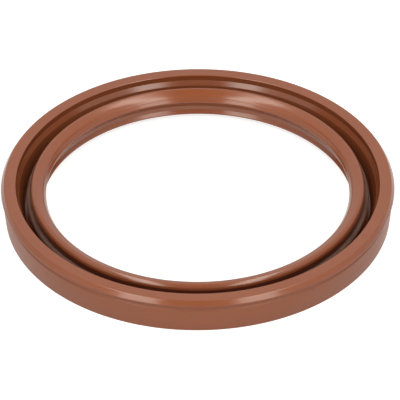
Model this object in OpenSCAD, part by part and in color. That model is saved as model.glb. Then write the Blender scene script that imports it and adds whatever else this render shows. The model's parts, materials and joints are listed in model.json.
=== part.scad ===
// Radial shaft seal: a moulded elastomer ring with a spring-loaded lip, oil side up.
// The ring is one revolved section. Heights are counted from the flat air side at z = 0.

/* [Seat] */
// Diameter of the shaft that the lip runs on
shaft_d = 100; // [60:1:200]
// Radial distance from the shaft to the housing wall
section_w = 12.5; // [12:0.5:20]
// Width of the seal along the shaft
width = 12; // [12:0.5:20]

/* [Jacket] */
// Oversize of the jacket on the housing diameter, for the press fit
press_oversize = 0.35; // [0.2:0.05:0.5]
// How far the retaining bead stands out from the jacket
bead_rise = 0.82; // [0.4:0.02:1.2]
// Width of the retaining bead, from the rim face to its lower edge
bead_w = 1.75; // [1.65:0.05:2]
// Radial run of the bead's shoulder, from the rim face outwards
shoulder_run = 1; // [0.6:0.05:1.2]
// Height of the bead's shoulder
shoulder_h = 1.5; // [1:0.05:1.55]
// Rounding of the shoulder into the bead
bead_round = 0.3; // [0.1:0.05:0.5]
// Width of the relief groove below the bead
relief_w = 2.45; // [1.6:0.05:2.6]
// Depth of the relief groove below the jacket
relief_depth = 0.35; // [0.15:0.01:0.5]
// Height of the chamfers above and below the relief groove
relief_chamfer = 0.6; // [0.3:0.05:0.7]
// Height of the tapered lead-in at the air side
lead_h = 4.05; // [2:0.05:4.5]
// Radial run of the tapered lead-in
lead_run = 0.4; // [0.3:0.02:1.2]

/* [Channel] */
// Thickness of the jacket wall at the mouth of the channel
mouth_wall = 3.95; // [2.5:0.05:4.5]
// Depth of the upright wall below the rim face
mouth_depth = 1.95; // [1.5:0.05:2.5]
// Radial run of the bevel below the upright wall
bevel_run = 1.1; // [0.8:0.05:1.3]
// Height of that bevel
bevel_h = 1.45; // [1:0.05:1.8]
// Radial run of the steep wall below the bevel
channel_draft = 1.2; // [0.4:0.05:1.3]
// Thickness of the web that closes the channel at the air side
web = 3.1; // [2.5:0.1:3.8]

/* [Sealing lip] */
// Interference of the free lip on the shaft diameter
lip_preload = 2; // [1:0.1:3]
// Height of the cylindrical contact band at the sealing edge
contact_w = 0.3; // [0.2:0.05:0.5]
// Depth of the sealing edge below the rim face
edge_depth = 3.9; // [3.5:0.05:4.5]
// Slope of the oil-side flank against the rim face, in degrees
oil_slope = 61; // [55:1:65]
// Slope of the lip top from its crest towards the shaft, in degrees
crest_in_slope = 20; // [10:1:24]
// Distance of the crest from the sealing edge, along the radius
crest_w = 3.4; // [3.2:0.05:3.5]
// Depth of the crest below the rim face
crest_depth = 1.05; // [0.8:0.05:1.3]
// Thickness of the lip head along the radius
head_w = 5.07; // [5.05:0.01:5.4]
// Rounding of the lip top into the outer wall of the lip head
dome_round = 1.5; // [1:0.05:1.5]
// Rounding between the lip top and the oil-side flank
lip_round = 3.4; // [2:0.1:4]
// Height of the air-side cone, from the contact band down to the neck
cone_h = 2.75; // [2.5:0.05:3]
// Thickness of the flexing neck between the lip head and the web
neck_w = 2.3; // [2:0.05:2.5]
// Height of the taper between the neck and the lip head
neck_taper = 0.8; // [0.4:0.05:1]

/* [Dust lip] */
// Clearance of the dust lip on the shaft diameter
dust_gap = 0.72; // [0.2:0.02:1.2]
// Height of the dust lip's tip above the air side
dust_h = 2.5; // [2:0.05:2.7]
// Thickness of the dust lip at its tip
dust_tip = 0.43; // [0.3:0.01:0.8]
// Height of the corner where the dust lip leaves the neck
root_h = 3.65; // [3.4:0.05:3.8]
// Distance from the shaft to the neck's inner wall
root_w = 1.1; // [0.9:0.05:1.3]
// Distance from the shaft to the flat foot at the air side
foot_w = 4.4; // [4:0.05:5]
// Depth of the recess under the dust lip
recess_depth = 1; // [0.4:0.05:1.1]

/* [Garter spring] */
// Outside diameter of the coil
coil_d = 2; // [1.6:0.05:2.2]
// How far the coil's centre line lies outside the wall of the lip head
coil_proud = 0.34; // [0.1:0.01:0.4]
// Offset of the coil's plane from the contact band, towards the air side
coil_offset = 1.35; // [1.2:0.05:1.4]
// Clearance between the coil and its groove
coil_gap = 0.05; // [0.02:0.01:0.1]
// Height of the lobe that closes the groove from below
lobe = 0.45; // [0.3:0.05:0.6]

/* [Edges] */
// Rounding of the small moulded edges
edge_r = 0.25; // [0.1:0.05:0.3]
// Rounding of the tight edges at the lip and the dust lip
tip_r = 0.12; // [0.05:0.01:0.15]
// Fillet in the channel's corners
fillet_r = 0.9; // [0.4:0.05:1.2]

/* [Hidden] */

// Largest turn of one straight step in a rounded corner, in degrees
ARC_STEP = 8;
// Facets of a full circle
ROUND = 180;

shaft_r = shaft_d / 2;
jacket_r = shaft_r + section_w + press_oversize / 2;
bead_r = jacket_r + bead_rise;
relief_r = jacket_r - relief_depth;
jacket_top = width - bead_w - relief_w;
mouth_r = jacket_r - mouth_wall;
mouth_foot = width - mouth_depth;
channel_r = mouth_r - bevel_run;
lip_r = shaft_r - lip_preload / 2;
edge_top = width - edge_depth;
crest = [lip_r + crest_w, width - crest_depth];
head_r = lip_r + head_w;
dust_r = shaft_r + dust_gap / 2;
root = [shaft_r + root_w, root_h];
foot_r = shaft_r + foot_w;
coil_at = [head_r + coil_proud, edge_top - contact_w / 2 - coil_offset];
groove_r = coil_d / 2 + coil_gap;
head_bottom = coil_at[1] - groove_r - lobe;
neck_r = root[0] + neck_w;
neck_top = head_bottom - neck_taper;

// Where the lip top and the oil-side flank would meet without their rounding
top_at_edge = crest[1] - crest_w * tan(crest_in_slope);
flank_run = (top_at_edge - edge_top) / (tan(oil_slope) - tan(crest_in_slope));

// The ring's section as corners: [distance from the axis, height, rounding]
SECTION = [
    // Air side and jacket
    [foot_r, 0, edge_r],
    [jacket_r - lead_run, 0, edge_r],
    [jacket_r, lead_h, fillet_r],
    [jacket_r, jacket_top, tip_r],
    [relief_r, jacket_top + relief_chamfer, tip_r],
    [relief_r, width - bead_w - relief_chamfer, tip_r],
    [bead_r, width - bead_w, tip_r],
    [bead_r, width - shoulder_h, bead_round],
    [bead_r - shoulder_run, width, edge_r],
    // Mouth, channel and web
    [mouth_r, width, edge_r],
    [mouth_r, mouth_foot, tip_r],
    [channel_r, mouth_foot - bevel_h, edge_r],
    [channel_r - channel_draft, web, fillet_r],
    // Neck and lip head
    [neck_r, web, fillet_r],
    [neck_r, neck_top, fillet_r],
    [head_r - edge_r, head_bottom, edge_r],
    [head_r, coil_at[1], 0],
    [head_r, crest[1], dome_round],
    [crest[0], crest[1], fillet_r],
    [lip_r + flank_run, edge_top + flank_run * tan(oil_slope), lip_round],
    // Sealing edge and dust lip
    [lip_r, edge_top, 0],
    [lip_r, edge_top - contact_w, 0],
    [root[0], edge_top - contact_w - cone_h, fillet_r],
    [root[0], root[1], edge_r],
    [dust_r, dust_h, tip_r],
    [dust_r + tip_r, dust_h - dust_tip, tip_r],
    [foot_r - recess_depth, recess_depth, edge_r]
];

function corner(path, i) =
    let (c = path[(i + len(path)) % len(path)])
    [c[0], c[1]];
function unit(v) = v / norm(v);
function to_last(path, i) = unit(corner(path, i - 1) - corner(path, i));
function to_next(path, i) = unit(corner(path, i + 1) - corner(path, i));
function turn(path, i) = 180 - acos(max(-1, min(1, to_last(path, i) * to_next(path, i))));

// Length that a corner's rounding takes from each of its two sides, cut to what the sides hold
function wish(path, i) =
    let (k = (i + len(path)) % len(path))
    path[k][2] * tan(turn(path, k) / 2);
function side(path, i) = norm(corner(path, i + 1) - corner(path, i));
function share(path, i, j, length) = length / max(length, wish(path, i) + wish(path, j));
function taken(path, i) =
    wish(path, i) * min(share(path, i, i + 1, side(path, i)), share(path, i, i - 1, side(path, i - 1)));

function rounded_corner(path, i) =
    let (t = taken(path, i), a = turn(path, i), p = corner(path, i))
    t == 0 ? [p] :
    let (centre = p + unit(to_last(path, i) + to_next(path, i)) * t / sin(a / 2))
    let (from = p + to_last(path, i) * t - centre, to = p + to_next(path, i) * t - centre)
    let (steps = ceil(a / ARC_STEP))
    [for (s = [0:steps]) centre + (sin(a - a * s / steps) * from + sin(a * s / steps) * to) / sin(a)];
function rounded(path) = [for (i = [0:len(path) - 1]) each rounded_corner(path, i)];

// Moulded ring: jacket, web, flexing neck, spring-loaded lip and dust lip in one piece
module seal_ring() {
    color("sienna")
        rotate_extrude($fn = ROUND)
            difference() {
                polygon(rounded(SECTION));
                translate(coil_at)
                    circle(r = groove_r, $fn = ROUND);
            }
}

// Close-wound steel coil joined into a ring, drawn as the tube that its turns fill
module garter_spring() {
    color("slategray")
        rotate_extrude($fn = ROUND)
            translate(coil_at)
                circle(d = coil_d, $fn = ROUND);
}

seal_ring();
garter_spring();
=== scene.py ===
"""Studio scene of a rotary shaft seal: a moulded ring turned from one section, and its wound spring."""

import json
import math

import bpy
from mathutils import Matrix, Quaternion, Vector
from mathutils.geometry import intersect_line_sphere_2d


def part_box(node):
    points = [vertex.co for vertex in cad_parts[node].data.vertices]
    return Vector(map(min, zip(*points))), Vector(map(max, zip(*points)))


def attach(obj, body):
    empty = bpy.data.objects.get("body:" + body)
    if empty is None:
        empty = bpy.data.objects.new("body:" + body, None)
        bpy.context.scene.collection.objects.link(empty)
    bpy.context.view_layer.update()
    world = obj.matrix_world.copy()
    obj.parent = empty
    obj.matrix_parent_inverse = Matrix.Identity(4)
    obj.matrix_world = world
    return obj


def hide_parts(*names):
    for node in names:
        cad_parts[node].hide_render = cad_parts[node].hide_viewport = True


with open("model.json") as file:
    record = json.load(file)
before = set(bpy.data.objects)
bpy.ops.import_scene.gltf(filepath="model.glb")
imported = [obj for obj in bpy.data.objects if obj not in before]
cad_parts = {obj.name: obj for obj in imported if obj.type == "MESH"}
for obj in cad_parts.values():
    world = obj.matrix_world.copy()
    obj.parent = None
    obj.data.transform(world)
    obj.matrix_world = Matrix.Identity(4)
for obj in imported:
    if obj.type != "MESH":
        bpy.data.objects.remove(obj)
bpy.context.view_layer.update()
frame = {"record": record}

bl_info = {
    "name": "Shaft Seal",
    "version": (1, 0, 0),
    "blender": (4, 5, 0),
    "location": "3D View > Sidebar > Seal",
    "description": "A moulded shaft seal with a sprung lip, and the studio that shows it",
    "category": "Add Mesh",
}

MM = 0.001
RING_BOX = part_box("seal_ring")
SPRING_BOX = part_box("garter_spring")
MOUNTS = {mount["name"]: mount for mount in frame["record"]["mounts"]}
SEAT_RADIUS = MOUNTS["housing_seat"]["dims"]["r_mm"] * MM
LIP_RADIUS = MOUNTS["shaft_lip"]["dims"]["r_mm"] * MM
SPRING_HEIGHT = (SPRING_BOX[0].z + SPRING_BOX[1].z) / 2
COIL_RADIUS = (SPRING_BOX[1].z - SPRING_BOX[0].z) / 2
# Sockets of a Mix node that carry colours, which share their names with others
COLOUR_A, COLOUR_B, COLOUR_OUT = 6, 7, 2
# Middle of what a Noise Texture gives
NOISE_MEAN = 0.5
# Roughness of the paper and the cards
MATT = 0.9
# The camera sees from its distance divided by this to its distance times this
CLIP_RANGE = 100
# Keeps a division from failing where neither end of a side is rounded
TINY = 1e-12
# Folds of the card in front and ends of the panels beside it, from low to high, as (y, z)
FRONT_FOLDS = ((-0.58, 0.16), (-0.56, 0.50), (-0.12, 0.94), (0.7, 1.6))


def length(name, description, default):
    return bpy.props.FloatProperty(name=name, description=description, default=default, unit="LENGTH")


def angle(name, description, degrees):
    radians = math.radians(degrees)
    return bpy.props.FloatProperty(name=name, description=description, default=radians, subtype="ANGLE")


def amount(name, description, default):
    return bpy.props.FloatProperty(name=name, description=description, default=default)


def count(name, description, default):
    return bpy.props.IntProperty(name=name, description=description, default=default, min=3)


def colour(name, description, default):
    return bpy.props.FloatVectorProperty(
        name=name, description=description, default=default, subtype="COLOR", size=3, min=0, max=1
    )


class SealRingSizes(bpy.types.PropertyGroup):
    """Sizes of the ring's section, radii from the axis and heights from the flat air side."""

    width: length("Width", "Height of the ring along the shaft", RING_BOX[1].z)
    bead_radius: length("Bead radius", "Largest radius, at the retaining bead", RING_BOX[1].x)
    jacket_radius: length("Jacket radius", "Radius of the press-fit jacket", SEAT_RADIUS)
    lip_radius: length("Lip radius", "Free radius of the sealing edge", LIP_RADIUS)
    bead_width: length("Bead width", "From the rim face to the bead's lower edge", 1.75 * MM)
    shoulder_run: length("Shoulder run", "Radial run of the bead's shoulder", 1.0 * MM)
    shoulder_height: length("Shoulder height", "Height of the bead's shoulder", 1.5 * MM)
    bead_rounding: length("Bead rounding", "Rounding of the shoulder into the bead", 0.3 * MM)
    rim_rounding: length("Rim rounding", "Rounding of the rim face into the shoulder", 0.4 * MM)
    relief_width: length("Relief width", "Width of the groove below the bead", 2.45 * MM)
    relief_depth: length("Relief depth", "Depth of the relief groove below the jacket", 0.35 * MM)
    relief_chamfer: length("Relief chamfer", "Height of the chamfers beside the relief groove", 0.6 * MM)
    lead_height: length("Lead-in height", "Height of the tapered lead-in", 4.05 * MM)
    lead_run: length("Lead-in run", "Radial run of the tapered lead-in", 0.4 * MM)
    mouth_wall: length("Mouth wall", "Jacket wall at the channel's mouth", 3.95 * MM)
    mouth_depth: length("Mouth depth", "Depth of the channel's upright mouth", 1.95 * MM)
    bevel_run: length("Bevel run", "Radial run of the bevel below the mouth", 1.1 * MM)
    bevel_height: length("Bevel height", "Height of the bevel below the mouth", 1.45 * MM)
    channel_draft: length("Channel draft", "Taper of the channel wall below the bevel", 1.2 * MM)
    web: length("Web", "Thickness of the web that closes the channel", 3.1 * MM)
    crest_distance: length("Crest distance", "From the sealing edge to the crest", 3.4 * MM)
    crest_depth: length("Crest depth", "Depth of the crest below the rim face", 1.05 * MM)
    crest_in_slope: angle("Inner slope", "Slope of the lip top towards the shaft", 20)
    dome_rounding: length("Dome rounding", "Rounding of the lip top into the head's wall", 1.5 * MM)
    edge_depth: length("Edge depth", "Depth of the sealing edge below the rim face", 3.9 * MM)
    oil_slope: angle("Oil-side slope", "Slope of the flank above the sealing edge", 61)
    contact_width: length("Contact width", "Height of the contact band", 0.3 * MM)
    head_width: length("Head width", "Thickness of the lip head", 5.07 * MM)
    lip_rounding: length("Lip rounding", "Rounding of the lip top into its flank", 3.4 * MM)
    trim_width: length("Trim width", "Flank that was trimmed after moulding", 1.3 * MM)
    trim_step: length("Trim step", "Height of the step that trimming left", 0.07 * MM)
    neck_radius: length("Neck radius", "Inner radius of the flexing neck", LIP_RADIUS + 2.1 * MM)
    cone_height: length("Cone height", "Height of the air-side cone, down to the neck", 2.75 * MM)
    root_height: length("Root height", "Height of the corner between neck and dust lip", 3.65 * MM)
    neck_width: length("Neck width", "Thickness of the flexing neck", 2.3 * MM)
    neck_taper: length("Neck taper", "Height of the taper from neck to head", 0.8 * MM)
    lobe: length("Lobe", "Height of the lobe below the spring groove", 0.45 * MM)
    groove_clearance: length("Groove clearance", "Gap between the coil and its groove", 0.05 * MM)
    dust_radius: length("Dust lip radius", "Smallest radius of the dust lip", LIP_RADIUS + 1.36 * MM)
    dust_height: length("Dust lip height", "Height of the dust lip's tip", 2.5 * MM)
    dust_tip: length("Dust lip tip", "Thickness of the dust lip at its tip", 0.43 * MM)
    foot_radius: length("Foot radius", "Inner radius of the flat foot", LIP_RADIUS + 5.4 * MM)
    recess_depth: length("Recess depth", "Depth of the recess under the dust lip", 1.0 * MM)
    edge: length("Edge rounding", "Rounding of the small moulded edges", 0.25 * MM)
    fine_edge: length("Fine rounding", "Rounding of the tight edges at the lips", 0.1 * MM)
    fillet: length("Fillet", "Rounding of the channel's corners", 0.9 * MM)
    arc_step: angle("Arc step", "Largest turn of one facet of a rounding", 6)
    steps_round: count("Steps round", "Facets of a full circle", 300)


class SealSpringSizes(bpy.types.PropertyGroup):
    """Sizes of the garter spring's coil and wire."""

    ring_radius: length("Ring radius", "Radius of the coil's centre line", SPRING_BOX[1].x - COIL_RADIUS)
    height: length("Height", "Height of the coil's centre line", SPRING_HEIGHT)
    coil_radius: length("Coil radius", "Outside radius of the coil", COIL_RADIUS)
    wire_radius: length("Wire radius", "Radius of the wire", 0.2 * MM)
    points_per_turn: count("Points per turn", "Points along one turn of wire", 10)
    wire_sides: count("Wire sides", "Sides of the wire", 6)


class SealFinish(bpy.types.PropertyGroup):
    """Colours and surface values of the rubber and the spring."""

    rubber_colour: colour("Rubber", "Colour of the elastomer", (0.232, 0.063, 0.0215))
    bloom_colour: colour("Bloom", "Colour of the faint bloom on the skin", (0.255, 0.076, 0.031))
    # Painted shade, not oil: this colour and the three values below darken the skin in the channel's
    # depths and on the lip head's outer wall, where shade falls.
    channel_shade_colour: colour("Oil film", "Colour of the skin under the oil in the channel", (0.07, 0.017, 0.01))
    head_wall_shade: amount("Head oil", "Strength of the oil film on the lip head's outer wall", 0.65)
    channel_wall_shade: amount("Wall oil", "Strength of the oil film on the channel's other walls", 0.27)
    shade_inset: length("Oil inset", "From the mouth's wall inwards to the head's oil", 1.95 * MM)
    rubber_ior: amount("Rubber IOR", "Refractive index of the elastomer", 1.5)
    rubber_roughness: amount("Rubber roughness", "Roughness of the moulded skin", 0.17)
    jacket_roughness: amount("Jacket roughness", "How much rougher the jacket is below its bead", 0.27)
    cloud_scale: amount("Cloud scale", "Clouds of bloom in a metre", 60.0)
    cloud_bloom: amount("Cloud bloom", "How much the clouds change the bloom", 0.8)
    mark_bloom: amount("Mark bloom", "How much the turning marks change the bloom", 0.5)
    mean_bloom: amount("Mean bloom", "Strength of the bloom on average", 0.25)
    cloud_roughness: amount("Cloud roughness", "How much the clouds change the roughness", 0.12)
    grain_roughness: amount("Grain roughness", "How much the grain changes the roughness", 0.08)
    grain_size: length("Grain size", "Size of the mould's fine grain", 0.25 * MM)
    grain_height: amount("Grain height", "Height of the grain beside that of the turning marks", 0.5)
    ring_pitch: length("Ring pitch", "Spacing of the mould's turning marks", 0.35 * MM)
    mark_drift: amount("Mark drift", "How often the turning marks change across a metre", 20.0)
    bump_strength: amount("Bump strength", "How strongly the grain and the marks tilt the skin", 0.25)
    bump_depth: length("Bump depth", "Depth of the grain and the marks", 0.02 * MM)
    # The wire's colour is steel made dark and brown: painted shade from the channel and a painted
    # reflection of the brown rubber around it.
    steel_with_painted_shade: colour("Steel", "Colour of the spring wire", (0.28, 0.165, 0.13))
    steel_roughness: amount("Steel roughness", "Roughness of the drawn wire", 0.85)
    film_scale: amount("Film scale", "Patches of oil on the wire in a metre", 180.0)
    film_shade: amount("Film shade", "Brightness of the wire under its oil", 0.6)
    drawing_scale: amount("Drawing scale", "Drawing marks on the wire in a metre", 4000.0)
    drawing_roughness: amount("Drawing roughness", "How much the drawing marks change the roughness", 0.15)


class SealStageSizes(bpy.types.PropertyGroup):
    """The camera's place, the panels, the cards, the air and the floor."""

    elevation: angle("Elevation", "Height of the camera above the horizon", 36.74)
    roll: angle("Roll", "Turn of the camera about its own axis", -0.22)
    distance: length("Distance", "From the camera to the middle of the rim", 1314.9 * MM)
    lens: amount("Lens", "Focal length in millimetres", 366.8)
    aim_right: length("Aim right", "How far right of the rim's middle the camera aims", 0.73 * MM)
    aim_down: length("Aim down", "How far below the rim's middle the camera aims", 6.3 * MM)
    front_gap: length("Front gap", "From the middle to the near edge of the upright panels", 0.22)
    roof_gap: length("Roof gap", "From the middle to the near edge of the panels overhead", 0.235)
    front_width: length("Front width", "Width of the upright panels in front", 0.30)
    roof_width: length("Roof width", "Width of the panels overhead", 0.24)
    front_glow: amount("Front glow", "Radiance of the upright panels", 4.2)
    roof_glow: amount("Roof glow", "Radiance of the panels overhead", 6.4)
    lamp_colour: colour("Lamp colour", "Colour of the panels", (1.0, 0.95, 0.86))
    front_grey: amount("Front grey", "Reflectance of the card between the panels", 0.8)
    side_grey: amount("Side grey", "Reflectance of the dark cards at the sides", 0.04)
    side_gap: length("Side gap", "From the middle sideways to the dark cards", 0.75)
    side_front: length("Side front", "From the middle forwards to the dark cards' near ends", 0.12)
    side_back: length("Side back", "From the middle backwards to the dark cards' far ends", 0.62)
    side_low: length("Side low", "Height of the dark cards' lower edges at the far ends", 0.01)
    side_high: length("Side high", "Height of the dark cards' upper edges at the far ends", 0.2)
    side_rise: length("Side rise", "How much higher the dark cards are at the near ends", 0.29)
    air_glow: amount("Air glow", "Radiance of the surrounding air", 0.17)
    floor_white: amount("Floor white", "Reflectance of the floor", 0.5)
    floor_lift: amount("Floor lift", "Glow that takes the seen floor to white", 0.74)
    floor_drop: length("Floor drop", "Gap that keeps the floor clear of the foot", 0.02 * MM)
    floor_size: length("Floor size", "Side of the floor", 6.0)


class Value:
    """A node socket that adds Math nodes when it stands in an expression."""

    def __init__(self, graph, socket):
        self.graph = graph
        self.socket = socket

    def math(self, operation, *others):
        return self.graph.math(operation, self, *others)

    def output(self, name):
        return Value(self.graph, self.socket.node.outputs[name])

    def clamped(self):
        return self.math("MAXIMUM", 0.0).math("MINIMUM", 1.0)

    def __add__(self, other):
        return self.math("ADD", other)

    def __sub__(self, other):
        return self.math("SUBTRACT", other)

    def __rsub__(self, other):
        return self.graph.math("SUBTRACT", other, self)

    def __mul__(self, other):
        return self.math("MULTIPLY", other)

    def __truediv__(self, other):
        return self.math("DIVIDE", other)

    def __rtruediv__(self, other):
        return self.graph.math("DIVIDE", other, self)

    def __pow__(self, other):
        return self.math("POWER", other)

    def __rpow__(self, other):
        return self.graph.math("POWER", other, self)

    __radd__ = __add__
    __rmul__ = __mul__


class Graph:
    """Adds nodes to one node tree."""

    def __init__(self, tree):
        self.tree = tree

    def node(self, kind, settings=None, sockets=None, out=0):
        made = self.tree.nodes.new(kind)
        for name, value in (settings or {}).items():
            setattr(made, name, value)
        for key, value in (sockets or {}).items():
            if isinstance(value, Value):
                self.tree.links.new(value.socket, made.inputs[key])
            else:
                made.inputs[key].default_value = value
        return Value(self, made.outputs[out]) if len(made.outputs) else None

    def math(self, operation, *values):
        return self.node("ShaderNodeMath", {"operation": operation}, dict(enumerate(values)))

    def vector(self, x, y, z):
        return self.node("ShaderNodeCombineXYZ", None, {"X": x, "Y": y, "Z": z})

    def noise(self, place, scale, detail=2.0):
        return self.node("ShaderNodeTexNoise", None, {"Vector": place, "Scale": scale, "Detail": detail})

    def blend(self, factor, first, second):
        sockets = {"Factor": factor, COLOUR_A: first, COLOUR_B: second}
        return self.node("ShaderNodeMix", {"data_type": "RGBA"}, sockets, out=COLOUR_OUT)


def rounded(corners, arc_step):
    """Points of a closed outline whose corners are (radius, height, rounding)."""
    spots = [Vector(corner[:2]) for corner in corners]
    sides = [spots[(i + 1) % len(spots)] - spot for i, spot in enumerate(spots)]
    turns = [sides[i - 1].angle(side) for i, side in enumerate(sides)]
    wishes = [corner[2] * math.tan(turn / 2) for corner, turn in zip(corners, turns)]
    points = []
    for i, spot in enumerate(spots):
        before, after, turn = sides[i - 1], sides[i], turns[i]
        next_wish = wishes[(i + 1) % len(spots)]
        share_before = before.length / (wishes[i - 1] + wishes[i] + TINY)
        share_after = after.length / (wishes[i] + next_wish + TINY)
        taken = wishes[i] * min(1, share_before, share_after)
        if taken == 0:
            points.append(spot)
            continue
        inward = after.normalized() - before.normalized()
        centre = spot + inward.normalized() * taken / math.sin(turn / 2)
        start = spot - before.normalized() * taken - centre
        end = spot + after.normalized() * taken - centre
        steps = math.ceil(turn / arc_step)
        for step in range(steps + 1):
            turned = turn * step / steps
            reach = math.sin(turn - turned) * start + math.sin(turned) * end
            points.append(centre + reach / math.sin(turn))
    return points


def groove_corners(centre, radius, top, middle, bottom, arc_step):
    """Corners of the round spring groove, cut into the head's wall between top and bottom."""
    upper = [p for p in intersect_line_sphere_2d(top, middle, centre, radius, True) if p][0] - centre
    lower = [p for p in intersect_line_sphere_2d(middle, bottom, centre, radius, True) if p][0] - centre
    first = math.atan2(upper.y, upper.x)
    last = math.atan2(lower.y, lower.x) % math.tau
    steps = math.ceil((last - first) / arc_step)
    turns = [first + (last - first) * step / steps for step in range(steps + 1)]
    return [centre + radius * Vector((math.cos(turn), math.sin(turn))) for turn in turns]


def ring_section(s, coil_radius, coil_centre):
    """Points of the ring's section, from the foot outwards, over the rim and down the lip."""
    relief_radius = s.jacket_radius - s.relief_depth
    jacket_top = s.width - s.bead_width - s.relief_width
    mouth_radius = s.jacket_radius - s.mouth_wall
    mouth_foot = s.width - s.mouth_depth
    channel_radius = mouth_radius - s.bevel_run
    edge_top = s.width - s.edge_depth
    crest = Vector((s.lip_radius + s.crest_distance, s.width - s.crest_depth))
    head_radius = s.lip_radius + s.head_width
    groove_radius = coil_radius + s.groove_clearance
    head_bottom = coil_centre.y - groove_radius - s.lobe
    neck_outside = s.neck_radius + s.neck_width
    cone_top = edge_top - s.contact_width
    flank = Vector((math.cos(s.oil_slope), math.sin(s.oil_slope)))
    across = Vector((flank.y, -flank.x))
    edge = Vector((s.lip_radius, edge_top))
    top_at_edge = crest.y - s.crest_distance * math.tan(s.crest_in_slope)
    flank_run = (top_at_edge - edge_top) / (math.tan(s.oil_slope) - math.tan(s.crest_in_slope))
    meet = edge + flank * flank_run / flank.x
    # The trim leaves a step across the flank, below an edge that stands up by a quarter of it
    trim_top = edge + flank * s.trim_width - across * s.trim_step / 4
    trim_foot = edge + flank * (s.trim_width - 2 * s.trim_step) + across * s.trim_step
    sharp = s.fine_edge / 2
    groove = groove_corners(
        coil_centre,
        groove_radius,
        Vector((head_radius, crest.y)),
        Vector((head_radius, coil_centre.y)),
        Vector((head_radius - s.edge, head_bottom)),
        s.arc_step,
    )
    corners = [
        (s.foot_radius, 0, s.edge),
        (s.jacket_radius - s.lead_run, 0, s.edge),
        (s.jacket_radius, s.lead_height, s.fillet),
        (s.jacket_radius, jacket_top, s.fine_edge),
        (relief_radius, jacket_top + s.relief_chamfer, s.fine_edge),
        (relief_radius, s.width - s.bead_width - s.relief_chamfer, s.fine_edge),
        (s.bead_radius, s.width - s.bead_width, s.fine_edge),
        (s.bead_radius, s.width - s.shoulder_height, s.bead_rounding),
        (s.bead_radius - s.shoulder_run, s.width, s.rim_rounding),
        (mouth_radius, s.width, s.edge),
        (mouth_radius, mouth_foot, s.fine_edge),
        (channel_radius, mouth_foot - s.bevel_height, s.edge),
        (channel_radius - s.channel_draft, s.web, s.fillet),
        (neck_outside, s.web, s.fillet),
        (neck_outside, head_bottom - s.neck_taper, s.fillet),
        (head_radius - s.edge, head_bottom, s.edge),
        (*groove[-1], sharp),
        *((*point, 0) for point in reversed(groove[1:-1])),
        (*groove[0], sharp),
        (head_radius, crest.y, s.dome_rounding),
        (*crest, s.fillet),
        (*meet, s.lip_rounding),
        (*trim_top, s.fine_edge),
        (*trim_foot, s.fine_edge),
        (*edge, sharp),
        (s.lip_radius, cone_top, sharp),
        (s.neck_radius, cone_top - s.cone_height, s.fillet),
        (s.neck_radius, s.root_height, s.edge),
        (s.dust_radius, s.dust_height, s.fine_edge),
        (s.dust_radius + s.fine_edge, s.dust_height - s.dust_tip, s.fine_edge),
        (s.foot_radius - s.recess_depth, s.recess_depth, s.edge),
    ]
    return rounded(corners, s.arc_step)


def add_object(name, data):
    """A new object in the scene."""
    made = bpy.data.objects.new(name, data)
    bpy.context.scene.collection.objects.link(made)
    return made


def new_tree(name, inputs):
    """A Geometry Nodes tree with named inputs, and the graph and values to fill it with."""
    tree = bpy.data.node_groups.new(name, "GeometryNodeTree")
    tree.interface.new_socket("Geometry", in_out="OUTPUT", socket_type="NodeSocketGeometry")
    for title, kind in inputs.items():
        tree.interface.new_socket(title, in_out="INPUT", socket_type="NodeSocket" + kind)
    graph = Graph(tree)
    given = graph.node("NodeGroupInput")
    return tree, graph, {title: given.output(title) for title in inputs}


def close_tree(graph, mesh, material):
    """Ends a tree: smooth faces, real geometry and one material."""
    smooth = graph.node("GeometryNodeSetShadeSmooth", None, {"Geometry": mesh})
    real = graph.node("GeometryNodeRealizeInstances", None, {"Geometry": smooth})
    finished = graph.node("GeometryNodeSetMaterial", None, {"Geometry": real, "Material": material})
    graph.node("NodeGroupOutput", None, {"Geometry": finished})


def turned_tree():
    """Turns a closed section curve round the Z axis."""
    tree, graph, given = new_tree(
        "turned_section",
        {"Geometry": "Geometry", "Sweep Radius": "Float", "Steps Round": "Int", "Finish": "Material"},
    )
    path = graph.node(
        "GeometryNodeCurvePrimitiveCircle",
        {"mode": "RADIUS"},
        {"Radius": given["Sweep Radius"], "Resolution": given["Steps Round"]},
    )
    swept = graph.node(
        "GeometryNodeCurveToMesh", None, {"Curve": path, "Profile Curve": given["Geometry"]}
    )
    close_tree(graph, swept, given["Finish"])
    return tree


def coil_tree():
    """Winds a wire into a close coil whose centre line is a circle round the Z axis."""
    tree, graph, given = new_tree(
        "wound_ring",
        {
            "Ring Radius": "Float",
            "Ring Height": "Float",
            "Helix Radius": "Float",
            "Wire Radius": "Float",
            "Turns": "Int",
            "Points per Turn": "Int",
            "Wire Sides": "Int",
            "Finish": "Material",
        },
    )
    points = given["Turns"] * given["Points per Turn"]
    around = graph.node("GeometryNodeInputIndex") * math.tau / points
    wound = around * given["Turns"]
    reach = given["Ring Radius"] + given["Helix Radius"] * wound.math("COSINE")
    rise = given["Ring Height"] + given["Helix Radius"] * wound.math("SINE")
    place = graph.vector(reach * around.math("COSINE"), reach * around.math("SINE"), rise)
    circle = graph.node(
        "GeometryNodeCurvePrimitiveCircle",
        {"mode": "RADIUS"},
        {"Radius": given["Ring Radius"], "Resolution": points},
    )
    helix = graph.node("GeometryNodeSetPosition", None, {"Geometry": circle, "Position": place})
    wire = graph.node(
        "GeometryNodeCurvePrimitiveCircle",
        {"mode": "RADIUS"},
        {"Radius": given["Wire Radius"], "Resolution": given["Wire Sides"]},
    )
    tube = graph.node("GeometryNodeCurveToMesh", None, {"Curve": helix, "Profile Curve": wire})
    close_tree(graph, tube, given["Finish"])
    return tree


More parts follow.
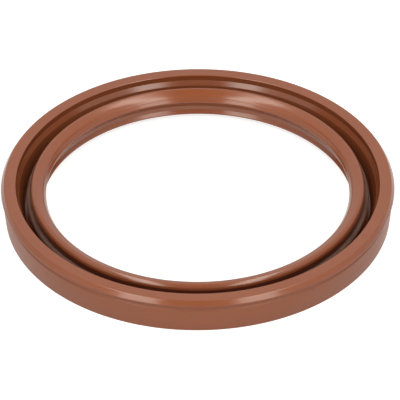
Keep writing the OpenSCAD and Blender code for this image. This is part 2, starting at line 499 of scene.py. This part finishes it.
def grown(name, start, tree, values):
    """A plain mesh object of what a tree makes from start."""
    source = add_object(name + "_source", start)
    modifier = source.modifiers.new("Shape", "NODES")
    modifier.node_group = tree
    for item in tree.interface.items_tree:
        if item.in_out == "INPUT" and item.name in values:
            modifier[item.identifier] = values[item.name]
    ready = source.evaluated_get(bpy.context.evaluated_depsgraph_get())
    mesh = bpy.data.meshes.new_from_object(ready)
    bpy.data.objects.remove(source)
    mesh.name = name
    return add_object(name, mesh)


def section_curve(points, sweep_radius):
    """A closed curve of the section, laid out for sweeping along a circle of that radius."""
    curve = bpy.data.curves.new("section", "CURVE")
    curve.dimensions = "3D"
    spline = curve.splines.new("POLY")
    spline.points.add(len(points) - 1)
    for spot, point in zip(spline.points, reversed(points)):
        spot.co = (point.x - sweep_radius, -point.y, 0, 1)
    spline.use_cyclic_u = True
    return curve


def new_material(name):
    """A material with an empty node tree, and its graph."""
    material = bpy.data.materials.new(name)
    material.use_nodes = True
    material.node_tree.nodes.clear()
    return material, Graph(material.node_tree)


def ramp(value, start, end):
    """0 up to start and 1 from end on, with an even slope between them, in either direction."""
    return ((value - start) / (end - start)).clamped()


def painted_channel_shade(look, sizes, radius, height):
    """How much painted shade darkens the channel: most on the lip head's outer wall, a little on the rest.
    """
    head_radius = sizes.lip_radius + sizes.head_width
    mouth_radius = sizes.jacket_radius - sizes.mouth_wall
    dome_foot = sizes.width - sizes.crest_depth - sizes.dome_rounding
    inside = ramp(radius, head_radius - sizes.dome_rounding, head_radius - sizes.edge)
    outside = ramp(radius, mouth_radius + sizes.edge, mouth_radius)
    head_side = ramp(radius, mouth_radius - look.shade_inset, head_radius + sizes.edge)
    below_dome = ramp(height, dome_foot, dome_foot - sizes.edge)
    below_rim = ramp(height, sizes.width, sizes.width - sizes.edge)
    return inside * outside * (head_side * below_dome * look.head_wall_shade + below_rim * look.channel_wall_shade)


def below_bead(sizes, radius, height):
    """1 on the jacket's outer wall below the bead and its chamfer, and 0 elsewhere."""
    mouth_radius = sizes.jacket_radius - sizes.mouth_wall
    chamfer_foot = sizes.width - sizes.bead_width - sizes.relief_chamfer
    outside = ramp(radius, mouth_radius, mouth_radius + sizes.edge)
    return outside * ramp(height, chamfer_foot, chamfer_foot - sizes.edge)


def rubber(look, sizes):
    """Moulded elastomer: fine grain, turning marks, a little bloom, painted shade in the channel, and a
    duller jacket.
    """
    material, graph = new_material("moulded_rubber")
    place = graph.node("ShaderNodeTexCoord", out="Object")
    x = graph.node("ShaderNodeSeparateXYZ", None, {"Vector": place})
    y, z = x.output("Y"), x.output("Z")
    radius = (x * x + y * y) ** 0.5
    drift = (x + y) * look.mark_drift
    turned = graph.vector(radius / look.ring_pitch, z / look.ring_pitch, drift)
    marks = graph.noise(turned, scale=1.0)
    grain = graph.noise(place, 1 / look.grain_size, detail=3.0)
    clouds = graph.noise(place, look.cloud_scale, detail=3.0)
    bloom = (clouds - NOISE_MEAN) * look.cloud_bloom + (marks - NOISE_MEAN) * look.mark_bloom
    bloom = (bloom + look.mean_bloom).clamped()
    skin = graph.blend(bloom, (*look.rubber_colour, 1), (*look.bloom_colour, 1))
    # Painted shade: the skin darkens towards the dark colour in the channel's depths and on the lip head's
    # outer wall.
    skin = graph.blend(painted_channel_shade(look, sizes, radius, z), skin, (*look.channel_shade_colour, 1))
    roughness = look.rubber_roughness + (clouds - NOISE_MEAN) * look.cloud_roughness
    roughness = roughness + (grain - NOISE_MEAN) * look.grain_roughness
    roughness = roughness + below_bead(sizes, radius, z) * look.jacket_roughness
    height = grain * look.grain_height + marks
    bump = graph.node(
        "ShaderNodeBump",
        None,
        {"Strength": look.bump_strength, "Distance": look.bump_depth, "Height": height},
    )
    shader = graph.node(
        "ShaderNodeBsdfPrincipled",
        None,
        {"Base Color": skin, "Roughness": roughness, "IOR": look.rubber_ior, "Normal": bump},
    )
    graph.node("ShaderNodeOutputMaterial", None, {"Surface": shader})
    return material


def spring_wire(look):
    """Drawn steel wire with a thin film of oil, its colour darkened and browned as painted shade and a
    painted reflection of the rubber.
    """
    material, graph = new_material("spring_wire")
    place = graph.node("ShaderNodeTexCoord", out="Object")
    film = graph.noise(place, look.film_scale)
    drawn = graph.noise(place, look.drawing_scale, detail=1.0)
    darker = tuple(look.film_shade * channel for channel in look.steel_with_painted_shade)
    metal = graph.blend(film, (*look.steel_with_painted_shade, 1), (*darker, 1))
    roughness = look.steel_roughness + (drawn - NOISE_MEAN) * look.drawing_roughness
    shader = graph.node(
        "ShaderNodeBsdfPrincipled", None, {"Base Color": metal, "Metallic": 1.0, "Roughness": roughness}
    )
    graph.node("ShaderNodeOutputMaterial", None, {"Surface": shader})
    return material


def seen_directly(graph):
    """1 for rays that show a surface to the eye, straight or in a mirror or glass, and 0 for the rest."""
    camera = graph.node("ShaderNodeLightPath", out="Is Camera Ray")
    straight = camera.math("MAXIMUM", camera.output("Is Glossy Ray"))
    return straight.math("MAXIMUM", camera.output("Is Transmission Ray"))


def floor_paint(stage):
    """Matt white paper that keeps shadows, reads as white to the eye and is clear from below."""
    material, graph = new_material("paper")
    lift = seen_directly(graph) * stage.floor_lift
    glow = graph.vector(lift, lift, lift)
    white = (stage.floor_white, stage.floor_white, stage.floor_white, 1)
    above = 1 - graph.node("ShaderNodeNewGeometry", out="Backfacing")
    shader = graph.node(
        "ShaderNodeBsdfPrincipled",
        None,
        {
            "Base Color": white,
            "Roughness": MATT,
            "Emission Color": glow,
            "Emission Strength": 1.0,
            "Alpha": above,
        },
    )
    graph.node("ShaderNodeOutputMaterial", None, {"Surface": shader})
    return material


def light_air(stage):
    """Even light from all round, and a white background for the eye."""
    world = bpy.data.worlds.new("air")
    world.use_nodes = True
    world.node_tree.nodes.clear()
    graph = Graph(world.node_tree)
    strength = stage.air_glow + seen_directly(graph) * (1 - stage.air_glow)
    air = graph.node("ShaderNodeBackground", None, {"Color": (1, 1, 1, 1), "Strength": strength})
    graph.node("ShaderNodeOutputWorld", None, {"Surface": air})
    bpy.context.scene.world = world


def panel(name, left, right, low, high, glow, tint):
    """A flat glowing panel from left to right, whose sides run from low to high as (y, z)."""
    slope = Vector(high) - Vector(low)
    middle = (Vector(low) + Vector(high)) / 2
    data = bpy.data.lights.new(name, "AREA")
    data.shape = "RECTANGLE"
    data.size = right - left
    data.size_y = slope.length
    data.energy = glow * math.pi * data.size * data.size_y
    data.color = tint
    lamp = add_object(name, data)
    lamp.location = ((left + right) / 2, *middle)
    lamp.rotation_euler.x = math.atan2(slope.y, slope.x)
    lamp.visible_camera = False


def place_camera(stage):
    """The camera at the photographed angle, aimed a little beside the middle of the rim."""
    data = bpy.data.cameras.new("camera")
    data.lens = stage.lens
    data.clip_start = stage.distance / CLIP_RANGE
    data.clip_end = stage.distance * CLIP_RANGE
    camera = add_object("camera", data)
    up = Vector((0, math.sin(stage.elevation), math.cos(stage.elevation)))
    back = Vector((0, -math.cos(stage.elevation), math.sin(stage.elevation)))
    rim_middle = Vector((0, 0, RING_BOX[1].z))
    camera.location = rim_middle + back * stage.distance
    aim = rim_middle + Vector((stage.aim_right, 0, 0)) - up * stage.aim_down
    look = (aim - camera.location).to_track_quat("-Z", "Y")
    camera.rotation_mode = "QUATERNION"
    camera.rotation_quaternion = look @ Quaternion((0, 0, 1), stage.roll)
    bpy.context.scene.camera = camera


def lay_floor(stage):
    """A large square of paper under the seal."""
    half = stage.floor_size / 2
    corners = [(x * half, y * half, -stage.floor_drop) for x, y in ((-1, -1), (1, -1), (1, 1), (-1, 1))]
    mesh = bpy.data.meshes.new("floor")
    mesh.from_pydata(corners, [], [(0, 1, 2, 3)])
    mesh.materials.append(floor_paint(stage))
    floor = add_object("floor", mesh)


def hang_card(name, grey, folds):
    """A matt grey card that the camera doesn't see, folded along lines given by their two ends."""
    material, graph = new_material(name)
    paint = {"Base Color": (grey, grey, grey, 1), "Roughness": MATT}
    shader = graph.node("ShaderNodeBsdfPrincipled", None, paint)
    graph.node("ShaderNodeOutputMaterial", None, {"Surface": shader})
    corners = [end for fold in folds for end in fold]
    faces = [(2 * i, 2 * i + 1, 2 * i + 3, 2 * i + 2) for i in range(len(folds) - 1)]
    mesh = bpy.data.meshes.new(name)
    mesh.from_pydata(corners, [], faces)
    mesh.materials.append(material)
    card = add_object(name, mesh)
    card.visible_camera = False


def side_edges(stage, x):
    """The lower and upper edge of a dark card, each from its raised near end to its far end."""
    heights = (stage.side_low, stage.side_high)
    return [((x, -stage.side_front, z + stage.side_rise), (x, stage.side_back, z)) for z in heights]


class SEAL_OT_stage(bpy.types.Operator):
    """Set up the camera, the panels, the cards, the air and the floor"""

    bl_idname = "seal.stage"
    bl_label = "Stage"

    def execute(self, context):
        stage = context.scene.seal_stage
        context.scene.view_settings.view_transform = "Standard"
        place_camera(stage)
        front = (stage.front_gap, stage.front_width, stage.front_glow)
        roof = (stage.roof_gap, stage.roof_width, stage.roof_glow)
        for low, high, (gap, width, glow) in zip(FRONT_FOLDS, FRONT_FOLDS[1:], (front, roof, roof)):
            panel("left_panel", -gap - width, -gap, low, high, glow, stage.lamp_colour)
            panel("right_panel", gap, gap + width, low, high, glow, stage.lamp_colour)
        gap = stage.front_gap
        hang_card("front_card", stage.front_grey, [((-gap, y, z), (gap, y, z)) for y, z in FRONT_FOLDS])
        for name, x in (("left_card", -stage.side_gap), ("right_card", stage.side_gap)):
            hang_card(name, stage.side_grey, side_edges(stage, x))
        light_air(stage)
        lay_floor(stage)
        return {"FINISHED"}


class SEAL_OT_ring(bpy.types.Operator):
    """Turn the moulded ring from its section"""

    bl_idname = "seal.ring"
    bl_label = "Moulded ring"

    def execute(self, context):
        sizes, spring = context.scene.seal_ring_sizes, context.scene.seal_spring_sizes
        coil_centre = Vector((spring.ring_radius, spring.height))
        points = ring_section(sizes, spring.coil_radius, coil_centre)
        sweep_radius = sizes.jacket_radius
        values = {
            "Sweep Radius": sweep_radius,
            "Steps Round": sizes.steps_round,
            "Finish": rubber(context.scene.seal_finish, sizes),
        }
        ring = grown("moulded_ring", section_curve(points, sweep_radius), turned_tree(), values)
        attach(ring, "root")
        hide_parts("seal_ring")
        return {"FINISHED"}


class SEAL_OT_spring(bpy.types.Operator):
    """Wind the garter spring"""

    bl_idname = "seal.spring"
    bl_label = "Garter spring"

    def execute(self, context):
        sizes = context.scene.seal_spring_sizes
        helix_radius = sizes.coil_radius - sizes.wire_radius
        tightest = math.tau * (sizes.ring_radius - helix_radius)
        values = {
            "Ring Radius": sizes.ring_radius,
            "Ring Height": sizes.height,
            "Helix Radius": helix_radius,
            "Wire Radius": sizes.wire_radius,
            "Turns": int(tightest / (2 * sizes.wire_radius)),
            "Points per Turn": sizes.points_per_turn,
            "Wire Sides": sizes.wire_sides,
            "Finish": spring_wire(context.scene.seal_finish),
        }
        empty = bpy.data.meshes.new("wire_start")
        coil = grown("wound_spring", empty, coil_tree(), values)
        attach(coil, "root")
        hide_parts("garter_spring")
        return {"FINISHED"}


class SEAL_PT_panel(bpy.types.Panel):
    """Lists the seal's operators"""

    bl_label = "Shaft Seal"
    bl_idname = "SEAL_PT_panel"
    bl_space_type = "VIEW_3D"
    bl_region_type = "UI"
    bl_category = "Seal"

    def draw(self, context):
        for operator in OPERATORS:
            self.layout.operator(operator.bl_idname)


OPERATORS = (SEAL_OT_stage, SEAL_OT_ring, SEAL_OT_spring)
SETTINGS = {
    "seal_ring_sizes": SealRingSizes,
    "seal_spring_sizes": SealSpringSizes,
    "seal_finish": SealFinish,
    "seal_stage": SealStageSizes,
}
CLASSES = (*SETTINGS.values(), *OPERATORS, SEAL_PT_panel)


def register():
    for made in CLASSES:
        bpy.utils.register_class(made)
    for name, group in SETTINGS.items():
        setattr(bpy.types.Scene, name, bpy.props.PointerProperty(type=group))


def unregister():
    for name in SETTINGS:
        delattr(bpy.types.Scene, name)
    for made in reversed(CLASSES):
        bpy.utils.unregister_class(made)


def main():
    register()
    bpy.ops.seal.stage()
    bpy.ops.seal.ring()
    bpy.ops.seal.spring()


if __name__ == "__main__":
    main()
